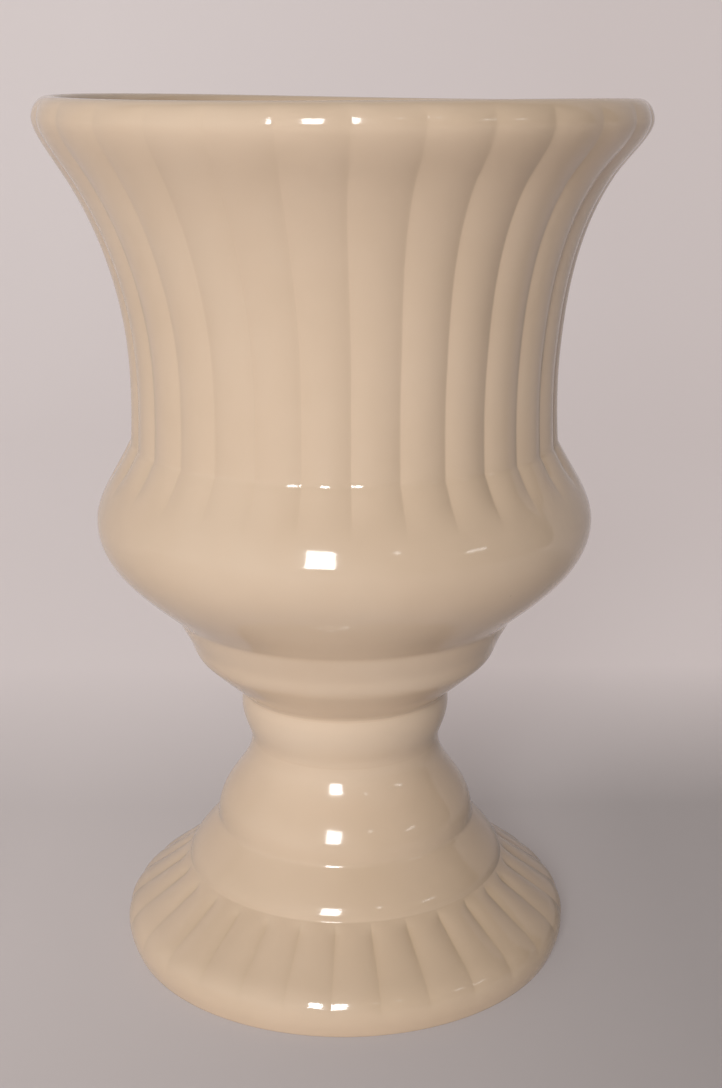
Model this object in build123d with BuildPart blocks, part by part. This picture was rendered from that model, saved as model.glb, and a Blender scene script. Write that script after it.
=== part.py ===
"""Urn vase of glazed earthenware: a lobed bowl, a collar and a hollow pedestal, luted together with slip."""

import os
from math import asin, atan2, cos, hypot, pi, radians, sin, sqrt

from build123d import *

os.makedirs("parts", exist_ok=True)

# Driving dimensions in millimetres. The vase stands on Z = 0, and Z is its axis.

# Whole vase
vase_height = 240.0  # from the table to the top of the lip

# Clay and joints
wall = 5.5  # thickness of the cast walls
slip_thickness = 0.6  # luting slip between two pieces
spigot_radius = 16.0  # round spigots on the bowl and on the pedestal, inside the collar
spigot_length = 6.0

# Pedestal, upwards from the table
foot_ring_radius = 61.3  # outer edge of the flat ring that the vase stands on
foot_ring_width = 5.0
foot_radius = 64.6  # widest part of the foot's rounded edge
foot_edge_height = 6.0  # height of that widest part
foot_edge_round = 8.0  # radius of the rounding over it
foot_underside_bulge = 0.6
skirt_height = 22.6  # from the table to the crease between skirt and band
skirt_top_radius = 46.8
band_height = 14.4
band_radius = 46.0  # lower edge of the band, between the skirt's crests and valleys
band_bulge = 1.4
bell_height = 24.0
bell_radius = 37.3  # where the bell meets the band
bell_foot_reach = 10.6  # how far the bell's foot stays upright
bell_neck_reach = 8.6  # how far its neck stays upright
waist_radius = 27.1
web_thickness = 9.0  # closed top of the hollow pedestal

# Collar between pedestal and bowl
collar_height = 14.1
collar_bulge = 0.4  # how far its widest part stands out over its upper edge
collar_bulge_height = 10.4  # height of its widest part over its lower face
collar_top_radius = 29.4

# Bowl, upwards from the collar
floor_thickness = 9.0
step_height = 24.3  # rounded step under the belly
step_radius = 48.1
step_bulge = 2.8
belly_height = 48.4  # from the step to the kink under the cup
belly_centre_height = 26.9  # height of its widest part over the step
belly_radius = 68.6
belly_round = 16.5  # radius of the belly's rounding in section
cup_waist_height = 14.5  # height of the cup's narrowest part over the kink
cup_waist_radius = 58.2
rim_radius = 80.4
lip_height = 9.0  # smooth band over the lobes
lip_drop = 7.0  # depth under the top at which the flare would reach the rim's radius
lip_thickness = 6.6
lip_crown = 5.6  # height of the rounded top over the rim's widest part

# Lobes on the cup and on the skirt
lobe_count = 30
lobe_depth = 0.85  # how far the valleys lie inside the crests on the cup
lobe_fade = 14.0  # height over which the valleys run out under the lip
skirt_lobe_depth = 1.1
skirt_lobe_turn = 7.2  # degrees that the skirt's lobes are turned against the cup's
cup_sections = 7
shoulder_sections = 4
skirt_sections = 4  # round the skirt's edge, under its straight flank

# Heights of the creases and faces
skirt_top = skirt_height
bell_foot = skirt_top + band_height
pedestal_top = bell_foot + bell_height
collar_bottom = pedestal_top + slip_thickness
collar_top = collar_bottom + collar_height
bowl_bottom = collar_top + slip_thickness
step_top = bowl_bottom + step_height
kink = step_top + belly_height
rim_top = vase_height
cup_waist = kink + cup_waist_height
lobes_end = rim_top - lip_height
belly_centre = (belly_radius - belly_round, step_top + belly_centre_height)


def polar(radius, angle, height):
    """A point on a level circle about the axis."""
    return (radius * cos(angle), radius * sin(angle), height)


def bulged(start, end, bulge):
    """The point that stands off the middle of a chord, to the right of its direction."""
    run = end[0] - start[0]
    rise = end[1] - start[1]
    chord = hypot(run, rise)
    return (
        (start[0] + end[0]) / 2 + bulge * rise / chord,
        (start[1] + end[1]) / 2 - bulge * run / chord,
    )


def touch(point, centre, radius, side):
    """Where a line from a point touches a circle. Side is 1 or -1, for the left or the right of the centre."""
    run = centre[0] - point[0]
    rise = centre[1] - point[1]
    distance = hypot(run, rise)
    angle = atan2(rise, run) + side * asin(radius / distance)
    length = sqrt(distance**2 - radius**2)
    return (point[0] + length * cos(angle), point[1] + length * sin(angle))


def flare_radius(waist, end_radius, end_height):
    """Radius of the arc that stands upright at the cup's waist and reaches the end point."""
    reach = end_radius - waist
    return ((end_height - cup_waist) ** 2 + reach**2) / (2 * reach)


def flare(height, waist, arc):
    """The cup's radius at a height, on a flare that stands upright at its waist."""
    return waist + arc - sqrt(arc**2 - (height - cup_waist) ** 2)


def lobed_ring(height, crest_radius, depth, turn):
    """A level face bounded by rounded lobes, with a valley towards -Y turned by some degrees.

    It is made from loose arcs, because a line block merges the arcs of a ring without depth.
    """
    pitch = 2 * pi / lobe_count
    valley_radius = crest_radius - depth
    arcs = []
    for lobe in range(lobe_count):
        start = radians(turn - 90) + lobe * pitch
        arc = ThreePointArc(
            polar(valley_radius, start, height),
            polar(crest_radius, start + pitch / 2, height),
            polar(valley_radius, start + pitch, height),
        )
        arcs.append(arc)
    return make_face(arcs)


def blend(start, end, share):
    """A value part of the way from start to end."""
    return start + (end - start) * share


# Outer and inner curves of the cup
flare_arc = flare_radius(cup_waist_radius, rim_radius, rim_top - lip_drop)
lip_side = rim_top - lip_crown
inner_waist_radius = cup_waist_radius - wall
inner_rim_radius = rim_radius - lip_thickness
inner_arc = flare_radius(inner_waist_radius, inner_rim_radius, lip_side)
kink_radius = flare(kink, cup_waist_radius, flare_arc)
lip_base_radius = flare(lobes_end, cup_waist_radius, flare_arc)
inner_kink = (flare(kink, inner_waist_radius, inner_arc), kink)
inner_lip_base = (flare(lobes_end, inner_waist_radius, inner_arc), lobes_end)

# Where the belly's straight flanks touch its rounding, outside and inside
inner_round = belly_round - wall
shoulder_end = touch((kink_radius, kink), belly_centre, belly_round, 1)
flank_end = touch((step_radius, step_top), belly_centre, belly_round, -1)
inner_step = (step_radius - wall, step_top)
inner_shoulder_end = touch(inner_kink, belly_centre, inner_round, 1)
inner_flank_end = touch(inner_step, belly_centre, inner_round, -1)
belly_side = (belly_radius, belly_centre[1])
inner_belly_side = (belly_radius - wall, belly_centre[1])
bowl_floor = (collar_top_radius - wall, bowl_bottom + floor_thickness)

# Level sections of the lobed shoulder and of the lobed cup
shoulder = []
for section in range(shoulder_sections):
    share = section / (shoulder_sections - 1)
    height = blend(shoulder_end[1], kink, share)
    crest = blend(shoulder_end[0], kink_radius, share)
    shoulder.append(lobed_ring(height, crest, share * lobe_depth, 0))
cup = []
for section in range(cup_sections):
    height = blend(kink, lobes_end, section / (cup_sections - 1))
    crest = flare(height, cup_waist_radius, flare_arc)
    depth = lobe_depth * min(1, (lobes_end - height) / lobe_fade)
    cup.append(lobed_ring(height, crest, depth, 0))

# Lobed bowl: cup, shoulder, belly and step, hollowed, with a lip and a spigot
with BuildPart() as lobed_bowl:
    with BuildSketch(Plane.XZ):
        with BuildLine():
            seat = (collar_top_radius, bowl_bottom)
            step_end = (step_radius, step_top)
            ThreePointArc(seat, bulged(seat, step_end, step_bulge), step_end)
            Line(step_end, flank_end)
            ThreePointArc(flank_end, belly_side, shoulder_end)
            Polyline(shoulder_end, (0, shoulder_end[1]), (0, bowl_bottom), seat)
        make_face()
    revolve(axis=Axis.Z)
    loft(sections=shoulder)
    loft(sections=cup)
    with BuildSketch(Plane.XZ):
        with BuildLine():
            ThreePointArc(bowl_floor, bulged(bowl_floor, inner_step, step_bulge), inner_step)
            Line(inner_step, inner_flank_end)
            ThreePointArc(inner_flank_end, inner_belly_side, inner_shoulder_end)
            Line(inner_shoulder_end, inner_kink)
            ThreePointArc(inner_kink, (inner_waist_radius, cup_waist), inner_lip_base)
            Polyline(inner_lip_base, (0, lobes_end), (0, bowl_floor[1]), bowl_floor)
        make_face()
    revolve(axis=Axis.Z, mode=Mode.SUBTRACT)
    with BuildSketch(Plane.XZ):
        with BuildLine():
            lip_base = (lip_base_radius, lobes_end)
            lip_outside = (rim_radius, lip_side)
            lip_inside = (inner_rim_radius, lip_side)
            Line(inner_lip_base, lip_base)
            Bezier(lip_base, (rim_radius, rim_top - lip_drop), lip_outside)
            crown_centre = (rim_radius - lip_thickness / 2, lip_side)
            EllipticalCenterArc(crown_centre, lip_thickness / 2, lip_crown, arc_size=180)
            middle = (lobes_end + lip_side) / 2
            ThreePointArc(lip_inside, (flare(middle, inner_waist_radius, inner_arc), middle), inner_lip_base)
        make_face()
    revolve(axis=Axis.Z)
    with BuildSketch(Plane.XY.offset(bowl_bottom)):
        Circle(spigot_radius)
    extrude(amount=-spigot_length)
lobed_bowl.part.label = "lobed_bowl"
export_step(lobed_bowl.part, "parts/lobed_bowl.step")

# Collar: a turned ring whose bore takes both spigots
bore_radius = spigot_radius + slip_thickness
with BuildPart() as stem_collar:
    with BuildSketch(Plane.XZ):
        with BuildLine():
            lower = (waist_radius, collar_bottom)
            upper = (collar_top_radius, collar_top)
            collar_side = (collar_top_radius + collar_bulge, collar_bottom + collar_bulge_height)
            ThreePointArc(lower, collar_side, upper)
            Polyline(upper, (bore_radius, collar_top), (bore_radius, collar_bottom), lower)
        make_face()
    revolve(axis=Axis.Z)
stem_collar.part.label = "stem_collar"
export_step(stem_collar.part, "parts/stem_collar.step")

# Where the skirt's straight flank touches its rounded edge, and the flank's offset through the wall
edge_centre = (foot_radius - foot_edge_round, foot_edge_height)
edge_start = touch((skirt_top_radius, skirt_top), edge_centre, foot_edge_round, 1)
edge_angle = atan2(edge_start[1] - edge_centre[1], edge_start[0] - edge_centre[0])
flank_offset = wall / cos(edge_angle)
hollow_top = pedestal_top - web_thickness

# Level sections of the lobed skirt: round its edge, then the top of its straight flank
skirt_line = []
for section in range(skirt_sections + 1):
    angle = edge_angle * section / skirt_sections
    height = edge_centre[1] + foot_edge_round * sin(angle)
    skirt_line.append((edge_centre[0] + foot_edge_round * cos(angle), height))
skirt_line.append((skirt_top_radius, skirt_top))
skirt = []
for crest, height in skirt_line:
    depth = skirt_lobe_depth * (height - foot_edge_height) / (skirt_top - foot_edge_height)
    skirt.append(lobed_ring(height, crest, depth, skirt_lobe_turn))

# Pedestal: rounded foot, lobed skirt, band and bell, hollow from below, with a spigot on top
with BuildPart() as pedestal_foot:
    with BuildSketch(Plane.XZ):
        with BuildLine():
            ring_edge = (foot_ring_radius, 0)
            edge = (foot_radius, foot_edge_height)
            ThreePointArc(ring_edge, bulged(ring_edge, edge, foot_underside_bulge), edge)
            Polyline(edge, (0, foot_edge_height), (0, 0), ring_edge)
        make_face()
    revolve(axis=Axis.Z)
    loft(sections=skirt[:-1])
    loft(sections=skirt[-2:])
    with BuildSketch(Plane.XZ):
        with BuildLine():
            ledge = (band_radius, skirt_top)
            band_end = (bell_radius, bell_foot)
            ThreePointArc(ledge, bulged(ledge, band_end, band_bulge), band_end)
            Bezier(
                band_end,
                (bell_radius, bell_foot + bell_foot_reach),
                (waist_radius, pedestal_top - bell_neck_reach),
                (waist_radius, pedestal_top),
            )
            Polyline((waist_radius, pedestal_top), (0, pedestal_top), (0, skirt_top), ledge)
        make_face()
    revolve(axis=Axis.Z)
    with BuildSketch(Plane.XZ):
        with BuildLine():
            mouth = (foot_ring_radius - foot_ring_width, 0)
            inner_edge = (foot_radius - wall, foot_edge_height)
            inner_flank = (edge_start[0] - flank_offset, edge_start[1])
            inner_skirt = (skirt_top_radius - flank_offset, skirt_top)
            inner_bell = (bell_radius - wall, bell_foot)
            Polyline((0, hollow_top), (0, 0), mouth, inner_edge, inner_flank, inner_skirt, inner_bell)
            Bezier(
                inner_bell,
                (waist_radius, hollow_top),
                (waist_radius - wall, hollow_top),
                (0, hollow_top),
            )
        make_face()
    revolve(axis=Axis.Z, mode=Mode.SUBTRACT)
    with BuildSketch(Plane.XY.offset(pedestal_top)):
        Circle(spigot_radius)
    extrude(amount=spigot_length)
pedestal_foot.part.label = "pedestal_foot"
export_step(pedestal_foot.part, "parts/pedestal_foot.step")


def slip_section(face, spigot_face, spigot_end, outer_radius):
    """Corner points of the fired slip: a washer between two faces and a sleeve round the spigot."""
    return [
        (spigot_radius, spigot_face),
        (outer_radius, spigot_face),
        (outer_radius, face),
        (bore_radius, face),
        (bore_radius, spigot_end),
        (spigot_radius, spigot_end),
    ]


# Fired slip that joins the bowl to the collar
with BuildPart() as upper_slip_joint:
    with BuildSketch(Plane.XZ):
        with BuildLine():
            corners = slip_section(collar_top, bowl_bottom, bowl_bottom - spigot_length, collar_top_radius)
            Polyline(*corners, close=True)
        make_face()
    revolve(axis=Axis.Z)
upper_slip_joint.part.label = "upper_slip_joint"
export_step(upper_slip_joint.part, "parts/upper_slip_joint.step")

# Fired slip that joins the collar to the pedestal
with BuildPart() as lower_slip_joint:
    with BuildSketch(Plane.XZ):
        with BuildLine():
            corners = slip_section(collar_bottom, pedestal_top, pedestal_top + spigot_length, waist_radius)
            Polyline(*corners, close=True)
        make_face()
    revolve(axis=Axis.Z)
lower_slip_joint.part.label = "lower_slip_joint"
export_step(lower_slip_joint.part, "parts/lower_slip_joint.step")
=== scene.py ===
"""Dresses the CAD frame of an urn vase: bowl, collar, pedestal, slip joints and a plain studio stage."""

from math import atan2, cos, hypot, radians, sin, tau

import bmesh
import bpy
from bpy.props import FloatProperty, IntProperty, PointerProperty, StringProperty
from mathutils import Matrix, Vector
from mathutils.geometry import interpolate_bezier


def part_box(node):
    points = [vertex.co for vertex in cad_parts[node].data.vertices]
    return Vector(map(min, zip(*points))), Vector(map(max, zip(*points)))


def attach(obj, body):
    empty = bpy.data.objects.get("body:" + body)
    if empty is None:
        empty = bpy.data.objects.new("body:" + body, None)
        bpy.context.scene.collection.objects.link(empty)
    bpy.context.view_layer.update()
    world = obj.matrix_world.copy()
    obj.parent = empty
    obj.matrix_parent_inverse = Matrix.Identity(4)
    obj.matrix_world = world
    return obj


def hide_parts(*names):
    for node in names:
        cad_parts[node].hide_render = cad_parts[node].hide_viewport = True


bl_info = {
    "name": "Glazed urn vase",
    "version": (1, 0, 0),
    "blender": (4, 5, 0),
    "location": "View3D > Sidebar > Urn vase",
    "description": "Builds a lobed, glazed earthenware urn vase over its CAD frame",
    "category": "Object",
}

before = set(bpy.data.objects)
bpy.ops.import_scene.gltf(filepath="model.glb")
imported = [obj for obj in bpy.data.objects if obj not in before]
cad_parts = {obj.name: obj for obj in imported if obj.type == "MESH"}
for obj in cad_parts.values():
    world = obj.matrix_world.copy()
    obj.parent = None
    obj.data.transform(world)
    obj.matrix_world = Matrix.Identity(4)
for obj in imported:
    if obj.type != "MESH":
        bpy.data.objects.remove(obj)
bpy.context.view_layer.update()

# Half sections and heights are in millimetres, and a section's points are (radius, height)
MM = 0.001
collar_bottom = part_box("stem_collar")[0].z / MM
collar_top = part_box("stem_collar")[1].z / MM
pedestal_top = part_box("lower_slip_joint")[0].z / MM
pedestal_spigot_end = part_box("lower_slip_joint")[1].z / MM
bowl_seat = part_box("upper_slip_joint")[1].z / MM
bowl_spigot_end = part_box("upper_slip_joint")[0].z / MM

# Radii where two pieces, or two sections of one piece, meet
spigot_radius = 16.0
bore_radius = 16.6
collar_foot_radius = 27.15
collar_top_radius = 29.5
resting_radius = 57.0
lip_top_radius = 76.1

# Heights of the lip: where it starts, its widest part and its top
lip_start = 222
lip_widest = 234
lip_top = 239.6

# Kink between the shoulder and the cup
kink_height = 149.5

# Depth of the glaze at its usual thickness, where 0 is thin and 1 is pooled
usual_glaze = 0.4

# How closely mesh steps crowd into the valleys, from 0 to 1
crowding = 0.7

# Usual share of a valley's depth that the glaze leaves open, and the azimuth where it leaves least
open_share = 0.9
filled_side = radians(-18)

# Vertices nearer than a micrometre become one, and edges bent by this angle or more stay crisp
merge_distance = 0.000001
crisp_angle = radians(40)

# Focal length of the photograph and its height, both in pixels
focal_pixels = 1600
picture_height = 1088


class UrnSizes(bpy.types.PropertyGroup):
    """Sizes of the vase's lobes and of the unevenness of a hand-finished piece."""

    lobe_count: IntProperty(
        name="Lobes",
        description="Number of lobes round the cup and round the skirt",
        default=30,
        min=3,
    )
    steps_per_lobe: IntProperty(
        name="Steps per lobe",
        description="Mesh steps across one lobe",
        default=16,
        min=6,
    )
    cup_lobe_depth: FloatProperty(
        name="Cup lobe depth",
        description="How far the valleys lie inside the crests on the cup",
        default=0.0010,
        unit="LENGTH",
        precision=5,
    )
    cup_lobe_turn: FloatProperty(
        name="Cup lobe turn",
        description="Turn of the cup's lobes from the front",
        default=radians(1.9),
        subtype="ANGLE",
    )
    skirt_lobe_depth: FloatProperty(
        name="Skirt lobe depth",
        description="How far the valleys lie inside the crests at the top of the skirt",
        default=0.0014,
        unit="LENGTH",
        precision=5,
    )
    skirt_lobe_turn: FloatProperty(
        name="Skirt lobe turn",
        description="Turn of the skirt's lobes from the front",
        default=radians(-3.2),
        subtype="ANGLE",
    )
    valley_softness: FloatProperty(
        name="Valley softness",
        description="Width over which glaze rounds a valley, as a share of a lobe",
        default=0.015,
        subtype="FACTOR",
        min=0.0,
        max=0.3,
    )
    rim_tilt: FloatProperty(
        name="Rim tilt",
        description="How far the left side of the hand-finished rim stands over the middle",
        default=0.0005,
        unit="LENGTH",
        precision=5,
    )
    rim_wave: FloatProperty(
        name="Rim wave",
        description="Height of the slow wave left on the rim by fettling",
        default=0.0005,
        unit="LENGTH",
        precision=5,
    )
    lip_lobe_turn: FloatProperty(
        name="Lip lobe turn",
        description="Further turn of the lobes where they run out on the lip",
        default=radians(-0.5),
        subtype="ANGLE",
    )
    cup_lean: FloatProperty(
        name="Cup lean",
        description="How far the flare leans to the left under the lip",
        default=0.0011,
        unit="LENGTH",
        precision=5,
    )


class UrnFinish(bpy.types.PropertyGroup):
    """Colours of the glaze and clay, as sRGB hex values, and the level of the lamps."""

    glaze_colour: StringProperty(
        name="Glaze",
        description="Cream glaze at its usual thickness",
        default="#DBC2A8",
    )
    # Painted light: besides thin glaze on the lip, this paler colour lightens the collar and the belly's
    # underside
    thin_and_painted_light_colour: StringProperty(
        name="Thin glaze",
        description="Paler glaze where it runs thin on the lip, on the collar and under the belly",
        default="#E4D0BA",
    )
    # Painted shade: besides gathered glaze, this olive colour darkens the pedestal from the bell down and
    # its valleys
    pooled_and_painted_shade_colour: StringProperty(
        name="Pooled glaze",
        description="Deeper, olive glaze where it gathers, most of all in the valleys",
        default="#BFA584",
    )
    clay_colour: StringProperty(
        name="Bare clay",
        description="Biscuit-fired earthenware where the foot was wiped clean",
        default="#D6BFA4",
    )
    stage_colour: StringProperty(
        name="Stage",
        description="Floor and backdrop",
        default="#F4EFEE",
    )
    shade_colour: StringProperty(
        name="Shaded stage",
        description="Floor and backdrop on the side away from the window",
        default="#D0CAC9",
    )
    stage_glow: FloatProperty(
        name="Stage glow",
        description="Share of the stage's look that comes from its own pale colour",
        default=0.6,
        subtype="FACTOR",
        min=0.0,
        max=1.0,
    )
    key_power: FloatProperty(
        name="Key power",
        description="Power of the main soft box",
        default=55.5,
        unit="POWER",
    )
    room_strength: FloatProperty(
        name="Room strength",
        description="Strength of the room's light from the right, its darkest side",
        default=0.02,
    )
    window_strength: FloatProperty(
        name="Window strength",
        description="Strength of the room's light from the left, its brightest side",
        default=0.8,
    )


def linear(colour):
    """Turn an sRGB hex value into a linear RGBA colour."""
    channels = []
    for start in (1, 3, 5):
        value = int(colour[start : start + 2], 16) / 255
        channels.append(value / 12.92 if value <= 0.04045 else ((value + 0.055) / 1.055) ** 2.4)
    return (*channels, 1.0)


def add_node(tree, kind, inputs=None, **settings):
    """Add a node with its settings. Each input gets a value, or a link from another node's socket."""
    node = tree.nodes.new(kind)
    for name, value in settings.items():
        setattr(node, name, value)
    for name, value in (inputs or {}).items():
        if isinstance(value, bpy.types.NodeSocket):
            tree.links.new(value, node.inputs[name])
        else:
            node.inputs[name].default_value = value
    return node


def remap(tree, value, low, high, first=0.0, last=1.0):
    """A socket that goes from first to last while a value goes from low to high."""
    limits = {"From Min": low, "From Max": high, "To Min": first, "To Max": last}
    return add_node(tree, "ShaderNodeMapRange", {"Value": value, **limits}).outputs["Result"]


def combine(tree, operation, first, second, **settings):
    """A socket with the result of a calculation on two values or sockets."""
    node = add_node(tree, "ShaderNodeMath", {0: first, 1: second}, operation=operation, **settings)
    return node.outputs["Value"]


def blend(tree, share, first, second):
    """A socket that goes from one colour to another with a share."""
    return add_node(tree, "ShaderNodeMix", {0: share, 6: first, 7: second}, data_type="RGBA").outputs[2]


def noise(tree, place, size, detail, roughness=0.5):
    """A socket of noise whose marks are about a size in metres."""
    look = {"Vector": place, "Scale": 1 / size, "Detail": detail, "Roughness": roughness}
    return add_node(tree, "ShaderNodeTexNoise", look).outputs["Fac"]


def bump(tree, height, distance, strength, **normal):
    """A normal bent by a height socket, which stands for a distance in metres."""
    inputs = {"Height": height, "Distance": distance, "Strength": strength, **normal}
    return add_node(tree, "ShaderNodeBump", inputs).outputs["Normal"]


def new_material(name):
    """An empty node material, its tree and a socket with the object's own coordinates."""
    material = bpy.data.materials.new(name)
    material.use_nodes = True
    tree = material.node_tree
    tree.nodes.clear()
    return material, tree, add_node(tree, "ShaderNodeTexCoord").outputs["Object"]


def close_surface(tree, colour, roughness, refraction, normal):
    """Give a material one solid surface, with its index of refraction."""
    inputs = {"Base Color": colour, "Roughness": roughness, "IOR": refraction, "Normal": normal}
    shader = add_node(tree, "ShaderNodeBsdfPrincipled", inputs)
    add_node(tree, "ShaderNodeOutputMaterial", {"Surface": shader.outputs["BSDF"]})


def glazed_earthenware(finish):
    """Cream glaze fired on slip-cast earthenware.

    To the eye: a wet gloss over a soft cream body, a little paler where the glaze runs thin, olive where it
    pools, with faint clouding, a few iron specks and slow waves that bend the reflections. The paler glaze
    is also painted light under the belly and on the collar, and the olive one painted shade down the
    pedestal.
    """
    material, tree, place = new_material("cream_glazed_earthenware")
    # The depth attribute carries painted light and shade as well as the glaze's real depth
    depth = add_node(tree, "ShaderNodeAttribute", attribute_name="glaze_depth_and_painted_light").outputs["Fac"]

    # Clouds about 45 mm across shift the glaze's depth a little
    clouds = noise(tree, place, 0.045, 3.0, 0.55)
    cloud_shift = remap(tree, clouds, 0.3, 0.7, -0.08, 0.08)
    clouded = combine(tree, "ADD", depth, cloud_shift, use_clamp=True)
    glaze = add_node(tree, "ShaderNodeValToRGB", {"Fac": clouded})
    glaze.color_ramp.elements[0].color = linear(finish.thin_and_painted_light_colour)
    glaze.color_ramp.elements[1].color = linear(finish.pooled_and_painted_shade_colour)
    usual = glaze.color_ramp.elements.new(usual_glaze)
    usual.color = linear(finish.glaze_colour)

    # Iron specks about 0.5 mm across, in few of the 14 mm cells
    cells = add_node(tree, "ShaderNodeTexVoronoi", {"Vector": place, "Scale": 1 / 0.014, "Randomness": 1.0})
    speck_shape = remap(tree, cells.outputs["Distance"], 0.012, 0.030, 1.0, 0.0)
    cell_pick = add_node(tree, "ShaderNodeSeparateColor", {"Color": cells.outputs["Color"]})
    picked = combine(tree, "GREATER_THAN", cell_pick.outputs["Red"], 0.88)
    speck = combine(tree, "MULTIPLY", speck_shape, picked)
    colour = blend(tree, speck, glaze.outputs["Color"], linear("#6E5640"))

    # Gloss varies a little over 25 mm, and slow 16 mm waves with a 2 mm peel bend the reflections
    gloss = noise(tree, place, 0.025, 2.0)
    roughness = remap(tree, gloss, 0.3, 0.7, 0.07, 0.13)
    waves = noise(tree, place, 0.016, 2.0, 0.35)
    peel = noise(tree, place, 0.002, 0.0)
    wavy = bump(tree, waves, 0.00022, 1.0)
    peeled = bump(tree, peel, 0.000006, 1.0, Normal=wavy)
    close_surface(tree, colour, roughness, 1.52, peeled)
    return material


def bare_earthenware(finish):
    """Biscuit-fired earthenware, wiped clean of glaze.

    To the eye: dry, matt and chalky, with a fine sandy grain and faint grey smudges from handling.
    """
    material, tree, place = new_material("biscuit_earthenware")

    # Smudges about 18 mm across
    smudges = noise(tree, place, 0.018, 4.0)
    smudge_share = remap(tree, smudges, 0.5, 0.75, 0.0, 0.5)
    colour = blend(tree, smudge_share, linear(finish.clay_colour), linear("#B9A790"))

    # Sand grain of about 0.5 mm
    grain = noise(tree, place, 0.0005, 2.0)
    sandy = bump(tree, grain, 0.00008, 0.8)
    close_surface(tree, colour, 0.9, 1.5, sandy)
    return material


def fired_slip(finish):
    """Luting slip fired under glaze that has gathered in the joint.

    To the eye: a thin, glossy line, barely deeper in colour than the walls beside it.
    """
    material, tree, place = new_material("fired_slip_under_glaze")

    # Beads of gathered glaze about 6 mm long
    beads = noise(tree, place, 0.006, 2.0)
    colour = blend(tree, beads, linear(finish.glaze_colour), linear("#D9C0A6"))
    beaded = bump(tree, beads, 0.0001, 0.6)
    close_surface(tree, colour, 0.12, 1.52, beaded)
    return material


def paper_sweep(finish):
    """Matt paper for the stage.

    To the eye: pale and even behind the vase, duller round its foot, and darker away from the window by
    painted shade.
    """
    material, tree, place = new_material("matt_paper_sweep")
    axes = add_node(tree, "ShaderNodeSeparateXYZ", {"Vector": place}).outputs

    # Painted shade: the paper's colour darkens from the window's side to the other
    shaded = remap(tree, axes["X"], -0.25, 0.25)
    colour = blend(tree, shaded, linear(finish.stage_colour), linear(finish.shade_colour))
    paper = add_node(tree, "ShaderNodeBsdfPrincipled", {"Base Color": colour, "Roughness": 0.9})

    # Seen straight on or mirrored in the glaze, it is pale behind the vase and duller round its foot, with
    # painted shade dimming the floor towards the right
    floor = remap(tree, axes["X"], -0.1, 0.1, 0.5, 0.28)
    behind = remap(tree, axes["Y"], 0.08, 0.22)
    paleness = add_node(tree, "ShaderNodeMix", {0: behind, 2: floor, 3: 0.74}).outputs[0]
    glow = add_node(tree, "ShaderNodeEmission", {"Color": linear("#FFEFEC"), "Strength": paleness})
    ray = add_node(tree, "ShaderNodeLightPath").outputs
    seen = combine(tree, "MAXIMUM", ray["Is Camera Ray"], ray["Is Glossy Ray"])
    seen = combine(tree, "MAXIMUM", seen, ray["Is Transmission Ray"])
    share = combine(tree, "MULTIPLY", seen, finish.stage_glow)
    shader = add_node(
        tree,
        "ShaderNodeMixShader",
        {0: share, 1: paper.outputs["BSDF"], 2: glow.outputs["Emission"]},
    )
    add_node(tree, "ShaderNodeOutputMaterial", {"Surface": shader.outputs["Shader"]})
    return material


made_materials = {}


def finish_material(build):
    """The material that a function builds, made once and shared by the pieces."""
    if build not in made_materials:
        made_materials[build] = build(bpy.context.scene.urn_finish)
    return made_materials[build]


def turn_section(mesh, sizes, start, *runs):
    """Spin a half section through one lobe, repeat that wedge about the axis and return the vertices.

    The section starts at a point. Each run is its number of steps and an end point, with two handles before
    the end point where the run is a curve.
    """
    before = set(mesh.verts)
    here = Vector((start[0], 0, start[1])) * MM
    points = [here]
    for count, *shape in runs:
        knots = [Vector((radius, 0, height)) * MM for radius, height in shape]
        if len(knots) == 1:
            knots = [here.lerp(knots[0], 1 / 3), here.lerp(knots[0], 2 / 3), knots[0]]
        points += interpolate_bezier(here, *knots, count + 1)[1:]
        here = knots[2]
    verts = [mesh.verts.new(point) for point in points]
    edges = [mesh.edges.new(pair) for pair in zip(verts, verts[1:])]
    axis = {"cent": (0, 0, 0), "axis": (0, 0, 1)}
    pitch = tau / sizes.lobe_count
    bmesh.ops.spin(mesh, geom=verts + edges, angle=pitch, steps=sizes.steps_per_lobe, **axis)
    wedge = [item for kind in (mesh.verts, mesh.edges, mesh.faces) for item in kind]
    wedge = [item for item in wedge if before.isdisjoint(getattr(item, "verts", [item]))]
    copies = sizes.lobe_count - 1
    bmesh.ops.spin(mesh, geom=wedge, angle=copies * pitch, steps=copies, use_duplicate=True, **axis)
    turned = [vert for vert in mesh.verts if vert not in before]
    bmesh.ops.remove_doubles(mesh, verts=turned, dist=merge_distance)
    return [vert for vert in mesh.verts if vert not in before]


def ramp(value, low, high):
    """Smooth step from 0 at low to 1 at high. Low may be the greater."""
    share = min(1.0, max(0.0, (value - low) / (high - low)))
    return share * share * (3 - 2 * share)


def lobe_place(sizes, place, turn, softness, filling, strays):
    """Azimuth of a mesh step, drawn closer towards the valleys, and how far it lies in a valley.

    A usual valley reaches almost to 1. The filling makes those at the front left, where glaze has gathered,
    shallower. The strays of the hand-cut lobes are slow waves: number round the vase, size and phase in
    degrees.
    """
    azimuth = atan2(place.x, -place.y)
    pitch = tau / sizes.lobe_count
    step = azimuth / pitch
    step -= crowding * sin(tau * step) / tau
    from_valley = hypot(step - round(step), softness)
    spaced = turn + step * pitch
    still_open = open_share - filling * cos(2 * (spaced - filled_side))
    inset = still_open * max(0.0, 1 - 2 * from_valley) ** 2
    stray = sum(size * sin(waves * spaced + radians(phase)) for waves, size, phase in strays)
    return spaced + radians(stray), inset


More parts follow.
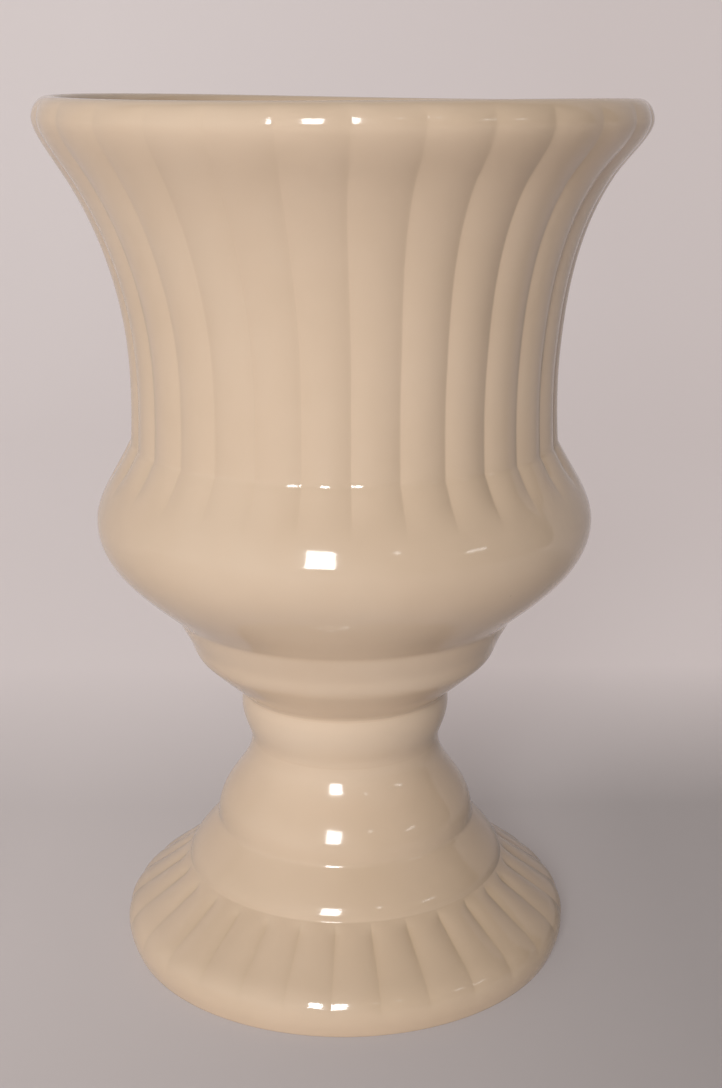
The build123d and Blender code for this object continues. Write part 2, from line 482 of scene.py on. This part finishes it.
def cup_lobe_share(height):
    """Share of the full lobe depth by height: it fades down the shoulder, and in two steps over the lip."""
    if height < kink_height:
        return ramp(height, 136.5, 145.0)
    return 1 - 0.35 * ramp(height, lip_start, 232) - 0.65 * ramp(height, 236, 239.5)


def skirt_lobe_share(height):
    """Share of the full lobe depth by height: it grows from the foot up and fades out under the band."""
    return ramp(height, 4, 12) * (0.4 + 0.6 * ramp(height, 10, 22)) * ramp(height, 24.5, 21.8)


def new_object(mesh, name, *materials):
    """Make a mesh, with smooth faces, an object of the scene."""
    for face in mesh.faces:
        face.smooth = True
    data = bpy.data.meshes.new(name)
    mesh.to_mesh(data)
    mesh.free()
    for material in materials:
        data.materials.append(material)
    item = bpy.data.objects.new(name, data)
    bpy.context.scene.collection.objects.link(item)
    return item


def finish_piece(mesh, name, node, slot, *materials):
    """Close a turned mesh, make it an object of the part and hide the CAD node that it stands for."""
    bmesh.ops.remove_doubles(mesh, verts=mesh.verts, dist=merge_distance)
    bmesh.ops.recalc_face_normals(mesh, faces=mesh.faces)
    for edge in mesh.edges:
        edge.smooth = edge.calc_face_angle(0.0) < crisp_angle
    piece = new_object(mesh, name, *materials)
    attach(piece, "root")
    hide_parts(node)


class UrnBowl(bpy.types.Operator):
    """Turn the bowl with its step, belly, lobed cup, rolled lip and glazed inside"""

    bl_idname = "object.urn_bowl"
    bl_label = "Build bowl"

    def execute(self, context):
        sizes = context.scene.urn_sizes
        mesh = bmesh.new()
        depth = mesh.verts.layers.float.new("glaze_depth_and_painted_light")

        # Outside, from the spigot's end to the top of the lip
        outside = turn_section(
            mesh,
            sizes,
            (0, bowl_spigot_end),
            (1, (spigot_radius, bowl_spigot_end)),
            (1, (spigot_radius, bowl_seat)),
            (1, (29.55, bowl_seat)),
            (3, (29.7, 76.9), (30.2, 77.4), (30.8, 77.9)),
            (9, (33.8, 80.3), (38.4, 84.4), (41.0, 86.9)),
            (8, (42.7, 88.5), (43.2, 90.4), (44.0, 92.5)),
            (5, (44.7, 94.2), (46.2, 96.6), (47.3, 98.9)),
            (6, (48.0, 100.3), (48.2, 100.7), (49.6, 101.8)),
            (7, (53.0, 104.8), (56.6, 107.5), (60.0, 110.9)),
            (12, (64.8, 115.6), (68.65, 120.8), (68.65, 127.6)),
            (8, (68.65, 130.6), (67.5, 133.4), (66.2, 136.0)),
            (9, (64.6, 139.2), (61.3, 144.4), (59.6, 147.9)),
            (6, (58.9, 149.0), (58.8, 149.2), (58.72, 150.5)),
            (7, (58.4, 155.0), (58.25, 160.0), (58.25, 164.0)),
            (28, (58.2, 184.0), (62.4, 207.5), (75.0, 224.2)),
            (10, (77.7, 227.8), (80.6, 231.6), (80.6, 234.2)),
            (10, (80.6, 236.5), (79.0, lip_top), (lip_top_radius, lip_top)),
        )

        # Inside, from the lip down to the middle of the floor
        turn_section(
            mesh,
            sizes,
            (lip_top_radius, lip_top),
            (5, (74.6, lip_top), (73.75, 238.2), (73.7, 236.6)),
            (5, (73.4, 232.2), (71.0, 227.4), (67.6, 221.5)),
            (12, (60.3, 208.0), (52.7, 187.0), (52.7, 164.0)),
            (5, (52.7, 157.0), (53.2, 152.0), (55.6, 147.6)),
            (8, (58.8, 142.6), (63.1, 137.0), (63.1, 128.0)),
            (8, (63.1, 118.0), (51.0, 110.0), (43.5, 102.5)),
            (7, (40.0, 98.6), (34.0, 85.5), (22.0, 85.3)),
            (4, (0, 85.3)),
        )
        lobed = set(outside)
        strays = ((2, 0.8, -14), (3, -1.5, 5), (5, 0.6, 0))
        filling = 0.2
        inside_share = 0.25
        wave_turn = radians(26)
        for vert in mesh.verts:
            radius = hypot(vert.co.x, vert.co.y)
            height = vert.co.z / MM
            lip = ramp(height, lip_start, lip_widest)
            turn = sizes.cup_lobe_turn + sizes.lip_lobe_turn * lip
            softness = sizes.valley_softness * (1 + lip)
            azimuth, inset = lobe_place(sizes, vert.co, turn, softness, filling, strays)
            share = cup_lobe_share(height)
            if vert not in lobed:
                share *= inside_share
            radius -= sizes.cup_lobe_depth * share * inset

            # The rim waves and tilts, and the flare leans to the left under the lip
            lift = sizes.rim_wave * sin(2 * azimuth - wave_turn) - sizes.rim_tilt * sin(azimuth)
            lift *= ramp(height, 150, 240)
            lean = sizes.cup_lean * ramp(height, 175, 218) * ramp(height, lip_widest, 220)
            vert.co = (radius * sin(azimuth) - lean, -radius * cos(azimuth), vert.co.z + lift)

            # The glaze runs thin on the lip's top and is deeper inside and in valleys; the paler glaze
            # under the belly is painted light
            thin_above = ramp(height, 237, 240)
            if vert in lobed:
                painted_light_below = ramp(height, 124, 111)
                gathered = share * inset**3
                vert[depth] = usual_glaze - 0.1 * painted_light_below + 0.08 * gathered - 0.05 * thin_above
            else:
                vert[depth] = 0.5 - 0.3 * thin_above
        finish_piece(mesh, "glazed_bowl", "lobed_bowl", "cream_glaze", finish_material(glazed_earthenware))
        return {"FINISHED"}


class UrnCollar(bpy.types.Operator):
    """Turn the rounded collar between the pedestal and the bowl"""

    bl_idname = "object.urn_collar"
    bl_label = "Build collar"

    def execute(self, context):
        sizes = context.scene.urn_sizes
        mesh = bmesh.new()
        depth = mesh.verts.layers.float.new("glaze_depth_and_painted_light")
        turn_section(
            mesh,
            sizes,
            (bore_radius, collar_bottom),
            (2, (collar_foot_radius, collar_bottom)),
            (10, (27.2, 64.4), (29.75, 67.6), (29.75, 72.4)),
            (5, (29.75, 73.8), (collar_top_radius, 74.8), (collar_top_radius, collar_top)),
            (2, (bore_radius, collar_top)),
            (2, (bore_radius, collar_bottom)),
        )

        # Painted light makes the collar's ring paler; at the crease under it the glaze keeps its usual
        # depth
        for vert in mesh.verts:
            vert[depth] = usual_glaze - 0.13 * ramp(vert.co.z / MM, collar_bottom, collar_bottom + 6)
        glaze = finish_material(glazed_earthenware)
        finish_piece(mesh, "glazed_collar", "stem_collar", "cream_glaze", glaze)
        return {"FINISHED"}


class UrnPedestal(bpy.types.Operator):
    """Turn the hollow pedestal with its rounded foot, lobed skirt, band and bell"""

    bl_idname = "object.urn_pedestal"
    bl_label = "Build pedestal"

    def execute(self, context):
        sizes = context.scene.urn_sizes
        mesh = bmesh.new()
        depth = mesh.verts.layers.float.new("glaze_depth_and_painted_light")

        # Outside, from the resting ring to the spigot's end
        outside = turn_section(
            mesh,
            sizes,
            (resting_radius, 0.0),
            (3, (62.0, 0.0)),
            (3, (62.8, 0.0), (63.2, 0.2), (63.4, 0.9)),
            (6, (64.0, 2.6), (64.6, 4.0), (64.6, 6.2)),
            (12, (64.6, 9.4), (62.9, 11.4), (60.4, 13.4)),
            (14, (46.35, 24.2)),
            (5, (46.1, 24.4), (45.95, 24.5), (45.9, 24.8)),
            (13, (45.5, 27.9), (42.0, 31.2), (38.3, 35.7)),
            (6, (37.4, 36.7), (37.25, 37.0), (37.2, 38.2)),
            (20, (37.0, 47.6), (collar_foot_radius, 52.4), (collar_foot_radius, pedestal_top)),
            (1, (spigot_radius, pedestal_top)),
            (1, (spigot_radius, pedestal_spigot_end)),
            (1, (0, pedestal_spigot_end)),
        )

        # Hollow, from the resting ring to the closed top
        turn_section(
            mesh,
            sizes,
            (resting_radius, 0.0),
            (3, (56.4, 0.1), (56.4, 0.6), (56.8, 1.4)),
            (4, (58.6, 3.6), (58.8, 6.0), (57.0, 8.0)),
            (6, (51.6, 12.8), (44.0, 17.6), (38.2, 22.0)),
            (5, (35.0, 24.6), (32.0, 31.0), (31.8, 37.0)),
            (8, (31.0, 46.0), (22.0, 52.0), (12.0, 52.0)),
            (2, (0, 52.0)),
        )
        lobed = set(outside)
        turn = sizes.skirt_lobe_turn
        strays = ((2, 0.6, 61), (3, -1.0, 53))
        filling = 0.1
        for vert in mesh.verts:
            radius = hypot(vert.co.x, vert.co.y)
            height = vert.co.z / MM
            share = skirt_lobe_share(height) if vert in lobed else 0.0
            azimuth, inset = lobe_place(sizes, vert.co, turn, sizes.valley_softness, filling, strays)
            radius -= sizes.skirt_lobe_depth * share * inset
            vert.co = (radius * sin(azimuth), -radius * cos(azimuth), vert.co.z)

            # Painted shade darkens the glaze from the bell down; the darker valleys are partly gathered
            # glaze and partly painted shade
            vert[depth] = usual_glaze + 0.06 * ramp(height, 60, 40) + 0.28 * share * inset**3

        # Bare clay in the hollow and on the resting ring
        bare_height = 0.8 * MM
        mesh.verts.index_update()
        hollow = {vert.index for vert in mesh.verts if vert not in lobed}
        for face in mesh.faces:
            bare = all(vert.index in hollow or vert.co.z < bare_height for vert in face.verts)
            face.material_index = int(bare)
        finish_piece(
            mesh,
            "glazed_pedestal",
            "pedestal_foot",
            "cream_glaze",
            finish_material(glazed_earthenware),
            finish_material(bare_earthenware),
        )
        return {"FINISHED"}


class UrnSlipJoints(bpy.types.Operator):
    """Turn the two layers of fired slip that join bowl, collar and pedestal"""

    bl_idname = "object.urn_slip_joints"
    bl_label = "Build slip joints"

    def execute(self, context):
        sizes = context.scene.urn_sizes

        # Name, CAD node, outer radius, and heights of the sleeve's end, the seat and the collar's face
        joints = (
            (
                "upper_slip_fillet",
                "upper_slip_joint",
                collar_top_radius,
                bowl_spigot_end,
                bowl_seat,
                collar_top,
            ),
            (
                "lower_slip_fillet",
                "lower_slip_joint",
                collar_foot_radius,
                pedestal_spigot_end,
                pedestal_top,
                collar_bottom,
            ),
        )
        for name, node, edge, sleeve_end, seat, collar_face in joints:
            mesh = bmesh.new()
            turn_section(
                mesh,
                sizes,
                (spigot_radius, sleeve_end),
                (2, (spigot_radius, seat)),
                (2, (edge, seat)),
                (4, (edge, collar_face)),
                (2, (bore_radius, collar_face)),
                (2, (bore_radius, sleeve_end)),
                (1, (spigot_radius, sleeve_end)),
            )
            finish_piece(mesh, name, node, "fired_slip", finish_material(fired_slip))
        return {"FINISHED"}


def pull(mesh, edges, way):
    """Pull edges along a way and return the edges at its end."""
    pulled = bmesh.ops.extrude_edge_only(mesh, edges=edges)["geom"]
    moved = [item for item in pulled if isinstance(item, bmesh.types.BMVert)]
    bmesh.ops.translate(mesh, verts=moved, vec=way)
    found = [item for item in pulled if isinstance(item, bmesh.types.BMEdge)]
    return [edge for edge in found if all(vert in moved for vert in edge.verts)]


def add_sweep():
    """A floor that bends up into a backdrop, with its sizes in metres."""
    half_width = 4.0
    front_edge = -4.0
    floor_length = 5.4
    wall_height = 3.0
    bend_size = 0.7
    mesh = bmesh.new()
    front = [mesh.verts.new((x, front_edge, 0.0)) for x in (-half_width, half_width)]
    bend = pull(mesh, [mesh.edges.new(front)], (0, floor_length, 0))
    pull(mesh, bend, (0, 0, wall_height))
    bmesh.ops.bevel(
        mesh, geom=bend, offset=bend_size, affect="EDGES", segments=24, profile=0.5, material=-1
    )
    sweep = new_object(mesh, "sweep", finish_material(paper_sweep))


def add_soft_boxes(scene):
    """The main soft box and two small ones at the right, all turned to the middle of the vase."""
    key_power = scene.urn_finish.key_power

    # Name, azimuth from the front, elevation, width, height and power
    boxes = (
        ("key_box", -11, 23, 0.66, 1.05, key_power),
        ("side_box", 25, 31, 0.14, 0.14, 0.4),
        ("far_box", 62, 20, 0.5, 0.12, 1.0),
    )
    middle = Vector((0, 0, 0.12))
    distance = 3.0
    for name, azimuth, elevation, width, height, power in boxes:
        lamp = bpy.data.lights.new(name, "AREA")
        lamp.shape = "RECTANGLE"
        lamp.size = width
        lamp.size_y = height
        lamp.energy = power
        box = bpy.data.objects.new(name, lamp)
        across = cos(radians(elevation))
        x = sin(radians(azimuth)) * across
        y = -cos(radians(azimuth)) * across
        away = Vector((x, y, sin(radians(elevation))))
        box.location = middle + away * distance
        box.rotation_euler = away.to_track_quat("Z", "Y").to_euler()
        scene.collection.objects.link(box)


def add_room(scene):
    """The room's light, which falls off from the window's side, at the front left, to the other."""
    finish = scene.urn_finish
    world = bpy.data.worlds.new("studio")
    world.use_nodes = True
    tree = world.node_tree
    tree.nodes.clear()
    way = add_node(tree, "ShaderNodeTexCoord").outputs["Generated"]
    window = (-0.82, -0.5, -0.28)
    facing = add_node(tree, "ShaderNodeVectorMath", {0: way, 1: window}, operation="DOT_PRODUCT")
    level = remap(tree, facing.outputs["Value"], 0.0, 1.0, finish.room_strength, finish.window_strength)
    room = add_node(tree, "ShaderNodeBackground", {"Color": linear("#F4F2F0"), "Strength": level})
    add_node(tree, "ShaderNodeOutputWorld", {"Surface": room.outputs["Background"]})
    scene.world = world


def add_camera(scene):
    """The camera at the photograph's place."""
    lens = bpy.data.cameras.new("camera")
    lens.lens = focal_pixels / picture_height * lens.sensor_width
    camera = bpy.data.objects.new("camera", lens)
    looks_down = 15.92
    looks_right = 0.61
    camera.location = (0, -0.4346, 0.24205)
    camera.rotation_euler = (radians(90 - looks_down), 0, radians(-looks_right))
    scene.collection.objects.link(camera)
    scene.camera = camera


class UrnStage(bpy.types.Operator):
    """Set the pale sweep, the soft boxes, the room's light and the camera"""

    bl_idname = "object.urn_stage"
    bl_label = "Build stage"

    def execute(self, context):
        add_sweep()
        add_soft_boxes(context.scene)
        add_room(context.scene)
        add_camera(context.scene)
        context.scene.view_settings.view_transform = "Standard"
        return {"FINISHED"}


class UrnPanel(bpy.types.Panel):
    """Sidebar panel with the vase's sizes, finish and build steps"""

    bl_idname = "VIEW3D_PT_urn_vase"
    bl_label = "Urn vase"
    bl_space_type = "VIEW_3D"
    bl_region_type = "UI"
    bl_category = "Urn vase"

    def draw(self, context):
        for group in (context.scene.urn_sizes, context.scene.urn_finish):
            for name in group.__annotations__:
                self.layout.prop(group, name)
        for operator in operators:
            self.layout.operator(operator.bl_idname)


operators = (UrnBowl, UrnCollar, UrnPedestal, UrnSlipJoints, UrnStage)
classes = (UrnSizes, UrnFinish, *operators, UrnPanel)


def register():
    """Register the classes and hang the settings on the scene."""
    for item in classes:
        bpy.utils.register_class(item)
    bpy.types.Scene.urn_sizes = PointerProperty(type=UrnSizes)
    bpy.types.Scene.urn_finish = PointerProperty(type=UrnFinish)


def unregister():
    """Undo register."""
    del bpy.types.Scene.urn_finish
    del bpy.types.Scene.urn_sizes
    for item in reversed(classes):
        bpy.utils.unregister_class(item)


def main():
    """Build the vase and its stage."""
    register()
    bpy.ops.object.urn_bowl()
    bpy.ops.object.urn_collar()
    bpy.ops.object.urn_pedestal()
    bpy.ops.object.urn_slip_joints()
    bpy.ops.object.urn_stage()


if __name__ == "__main__":
    main()
